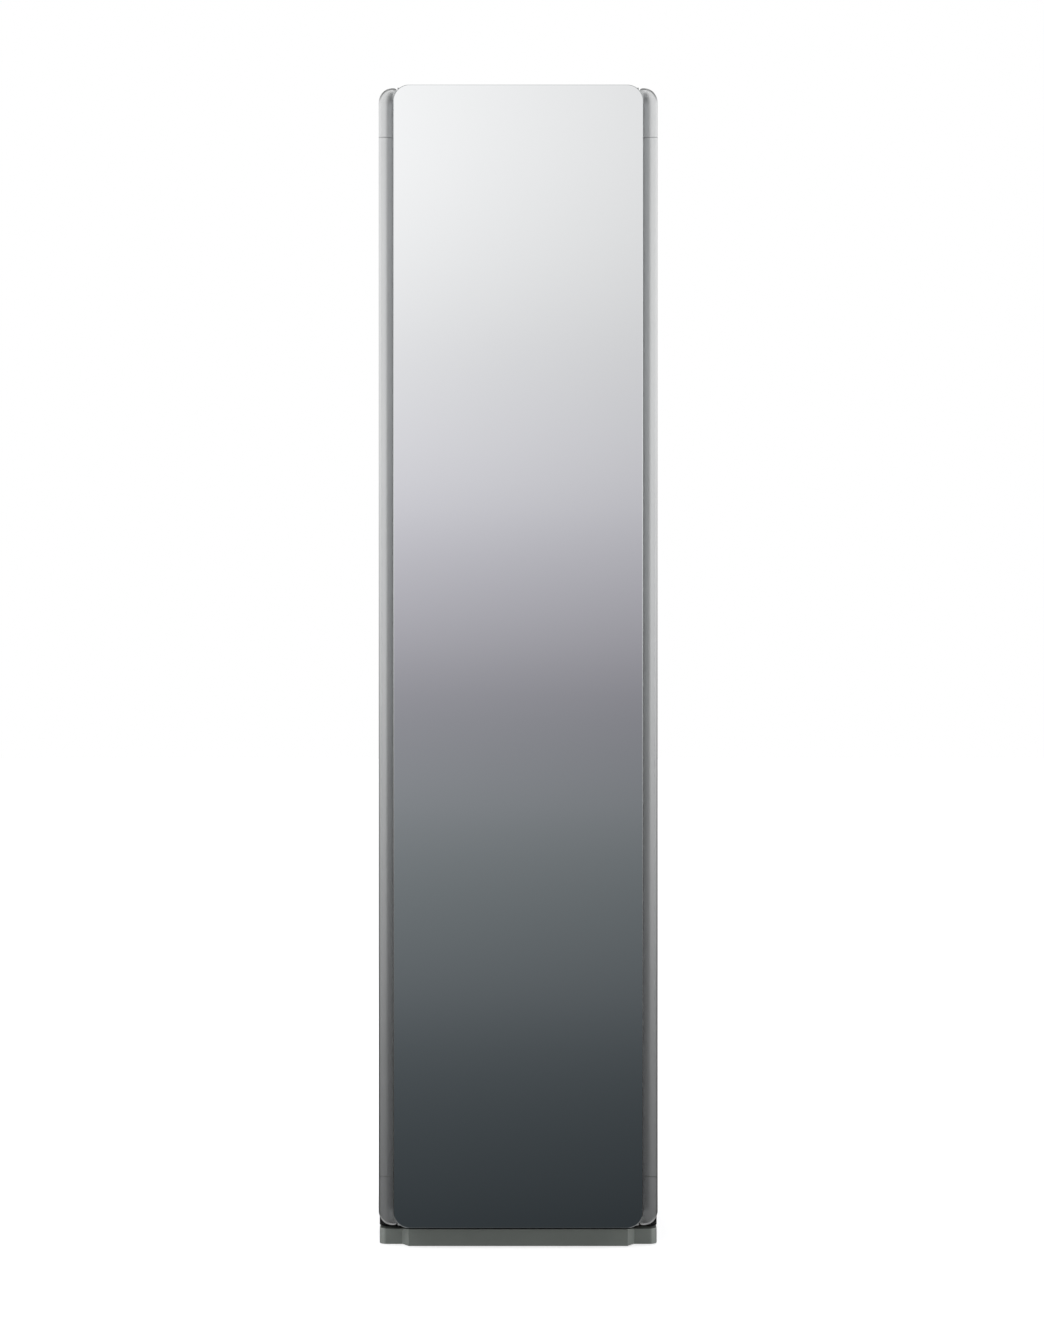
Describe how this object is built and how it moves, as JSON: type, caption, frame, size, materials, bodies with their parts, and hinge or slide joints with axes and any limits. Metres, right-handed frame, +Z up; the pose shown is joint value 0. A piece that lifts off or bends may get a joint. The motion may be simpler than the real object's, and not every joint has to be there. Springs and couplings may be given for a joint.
{
  "type": "clothes care steam cabinet",
  "caption": "Tall narrow steam wardrobe with a mirror door, shaking hanger bar, trouser press in the door, water tanks, heat pump and steam generator below.",
  "frame": {"origin": "middle of the overall box's bottom face, on the floor", "axes": "+X to the right of someone facing the mirror, +Y from the mirror to the wall, +Z up"},
  "size_m": [0.445, 0.585, 1.85],
  "materials": {
    "mirror_glass": "silvered clear glass with a ground edge",
    "door_grey": "satin metallic grey paint",
    "kick_grey": "satin dark grey paint",
    "zinc_steel": "zinc plated sheet steel",
    "dark_steel": "black stoved paint",
    "painted_side": "satin grey paint",
    "light_plastic": "fine grained light moulding",
    "grey_plastic": "fine grained grey moulding",
    "dark_plastic": "fine grained dark moulding",
    "tank_plastic": "smoky translucent plastic",
    "lens_plastic": "milky lens",
    "black_rubber": "matt black",
    "foam_core": "rigid insulation foam",
    "circuit_board": "green board",
    "copper_tube": "plain copper tube",
    "cast_aluminium": "plain aluminium",
    "hanger_wood": "varnished beech"
  },
  "bodies": {
    "cabinet": {"side_panel_left": "painted_side", "side_panel_right": "painted_side", "rear_panel": "zinc_steel", "top_cover": "painted_side", "inner_side_left": "light_plastic", "inner_side_right": "light_plastic", "inner_back": "light_plastic", "inner_ceiling": "light_plastic", "cavity_floor": "grey_plastic", "insulation_jacket": "foam_core", "base_pan": "dark_steel", "kick_plate": "kick_grey", "tank_bay": "dark_plastic", "upper_hinge": "zinc_steel", "lower_hinge": "zinc_steel", "compressor": "dark_steel", "duct_tray": "dark_plastic", "evaporator": "cast_aluminium", "condenser": "cast_aluminium", "blower_housing": "dark_plastic", "steam_generator": "cast_aluminium", "steam_hose": "black_rubber", "steam_nozzle": "dark_plastic", "drain_pump": "dark_plastic", "control_box": "grey_plastic", "refrigerant_pipe": "copper_tube", "drive_frame": "zinc_steel", "drive_motor": "dark_steel", "drive_belt": "black_rubber", "interior_lamp": "lens_plastic", "supply_tank": "tank_plastic", "supply_tank_lid": "grey_plastic", "drain_tank": "tank_plastic", "drain_tank_lid": "grey_plastic"},
    "door": {"mirror_glass": "mirror_glass", "mirror_carrier": "dark_plastic", "touch_board": "circuit_board", "door_core": "foam_core", "door_upper_cap": "door_grey", "door_lower_cap": "door_grey", "door_side_trim_left": "door_grey", "door_side_trim_right": "door_grey", "door_inner_liner": "light_plastic", "door_gasket": "black_rubber", "press_base": "grey_plastic", "trouser_hanger": "grey_plastic"},
    "press_lid_body": {"press_lid": "light_plastic"},
    "press_latch_body": {"press_latch": "dark_plastic"},
    "hanger_bar_body": {"hanger_bar": "zinc_steel"},
    "crank_pulley_body": {"crank_pulley": "cast_aluminium"},
    "motor_pulley_body": {"motor_pulley": "cast_aluminium"},
    "hanger_left_body": {"hanger_left": "hanger_wood"},
    "hanger_middle_body": {"hanger_middle": "hanger_wood"},
    "hanger_right_body": {"hanger_right": "hanger_wood"},
    "blower_impeller_body": {"blower_impeller": "grey_plastic"},
    "lint_filter_body": {"lint_filter": "dark_plastic"},
    "aroma_case_body": {"aroma_case": "light_plastic"},
    "shelf_body": {"shelf": "grey_plastic"},
    "levelling_foot_left_body": {"levelling_foot_left": "dark_plastic"},
    "levelling_foot_right_body": {"levelling_foot_right": "dark_plastic"}
  },
  "joints": [
    {"name": "door_hinge", "type": "hinge", "parent": "cabinet", "child": "door", "pos_m": [-0.21, -0.2465, 0.92], "axis": [0, 0, -1], "range_deg": [0, 110]},
    {"name": "press_lid_hinge", "type": "hinge", "parent": "door", "child": "press_lid_body", "pos_m": [-0.15, -0.214, 1.05], "axis": [0, 0, 1], "range_deg": [0, 90]},
    {"name": "press_latch_turn", "type": "hinge", "parent": "press_lid_body", "child": "press_latch_body", "pos_m": [0.128, -0.2039, 1.05], "axis": [0, -1, 0], "range_deg": [0, 90]},
    {"name": "hanger_bar_shake", "type": "slide", "parent": "cabinet", "child": "hanger_bar_body", "axis": [1, 0, 0], "range_m": [-0.012, 0.012]},
    {"name": "crank_spin", "type": "hinge", "parent": "cabinet", "child": "crank_pulley_body", "pos_m": [0, 0.022, 1.78], "axis": [0, 0, 1], "continuous": true},
    {"name": "motor_pulley_spin", "type": "hinge", "parent": "cabinet", "child": "motor_pulley_body", "pos_m": [0, 0.137, 1.78], "axis": [0, 0, 1], "continuous": true},
    {"name": "impeller_spin", "type": "hinge", "parent": "cabinet", "child": "blower_impeller_body", "pos_m": [0.07, 0.15, 0.358], "axis": [0, 1, 0], "continuous": true},
    {"name": "lint_filter_lift", "type": "slide", "parent": "cabinet", "child": "lint_filter_body", "axis": [0, 0, 1], "range_m": [0, 0.06]},
    {"name": "aroma_case_lift", "type": "slide", "parent": "cabinet", "child": "aroma_case_body", "axis": [0, 0, 1], "range_m": [0, 0.05]},
    {"name": "shelf_lift", "type": "slide", "parent": "cabinet", "child": "shelf_body", "axis": [0, 0, 1], "range_m": [0, 0.06]},
    {"name": "levelling_foot_left_turn", "type": "hinge", "parent": "cabinet", "child": "levelling_foot_left_body", "pos_m": [-0.17, -0.185, 0.02], "axis": [0, 0, 1], "continuous": true},
    {"name": "levelling_foot_right_turn", "type": "hinge", "parent": "cabinet", "child": "levelling_foot_right_body", "pos_m": [0.17, -0.185, 0.02], "axis": [0, 0, 1], "continuous": true},
    {"name": "hanger_left_swing", "type": "hinge", "parent": "hanger_bar_body", "child": "hanger_left_body", "pos_m": [-0.11, 0.022, 1.69], "axis": [1, 0, 0], "range_deg": [-5, 5]},
    {"name": "hanger_middle_swing", "type": "hinge", "parent": "hanger_bar_body", "child": "hanger_middle_body", "pos_m": [0, 0.022, 1.69], "axis": [1, 0, 0], "range_deg": [-5, 5]},
    {"name": "hanger_right_swing", "type": "hinge", "parent": "hanger_bar_body", "child": "hanger_right_body", "pos_m": [0.11, 0.022, 1.69], "axis": [1, 0, 0], "range_deg": [-5, 5]}
  ],
  "couplings": [
    {"joint": "motor_pulley_spin", "follows": "crank_spin", "ratio": 3.2143}
  ]
}
